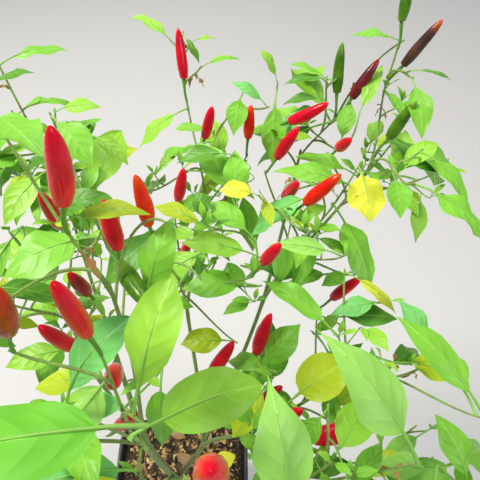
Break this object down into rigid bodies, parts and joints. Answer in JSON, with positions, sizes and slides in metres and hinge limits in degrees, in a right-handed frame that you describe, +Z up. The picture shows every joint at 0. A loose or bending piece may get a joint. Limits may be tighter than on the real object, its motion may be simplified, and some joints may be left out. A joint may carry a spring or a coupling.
{
  "type": "chilli pepper plant",
  "caption": "Chilli pepper plant with upright red fruits on slender forking stems, in a square plastic pot of potting mix.",
  "frame": {"origin": "middle of the pot's flat underside", "axes": "+Z up along the stem, X and Y along the pot's sides, +Y away from the viewer of the picture"},
  "size_m": [0.6065, 0.6226, 0.8526],
  "materials": {
    "pot": "satin",
    "potting_mix": "matte",
    "stem": "satin",
    "foliage": "satin",
    "fruit": "gloss",
    "litter": "matte"
  },
  "bodies": {
    "root": {"pot": "pot", "soil": "potting_mix", "trunk": "stem", "stem_front": "stem", "stem_left": "stem", "stem_right": "stem", "bough_front": "stem", "bough_near": "stem", "bough_near_right": "stem", "bough_top": "stem", "bough_left": "stem", "bough_left_far": "stem", "bough_back_left": "stem", "bough_back": "stem", "bough_far_right": "stem", "bough_right": "stem", "foliage_top": "foliage", "foliage_left": "foliage", "foliage_front": "foliage", "foliage_middle": "foliage", "foliage_back": "foliage", "foliage_back_left": "foliage", "foliage_right_low": "foliage", "foliage_right": "foliage", "foliage_right_front": "foliage", "foliage_far_middle": "foliage", "foliage_far_right": "foliage", "foliage_back_right": "foliage", "foliage_left_far": "foliage", "foliage_near_left": "foliage", "foliage_near_middle": "foliage", "foliage_near": "foliage", "foliage_near_right": "foliage", "foliage_right_far": "foliage"}
  },
  "joints": []
}
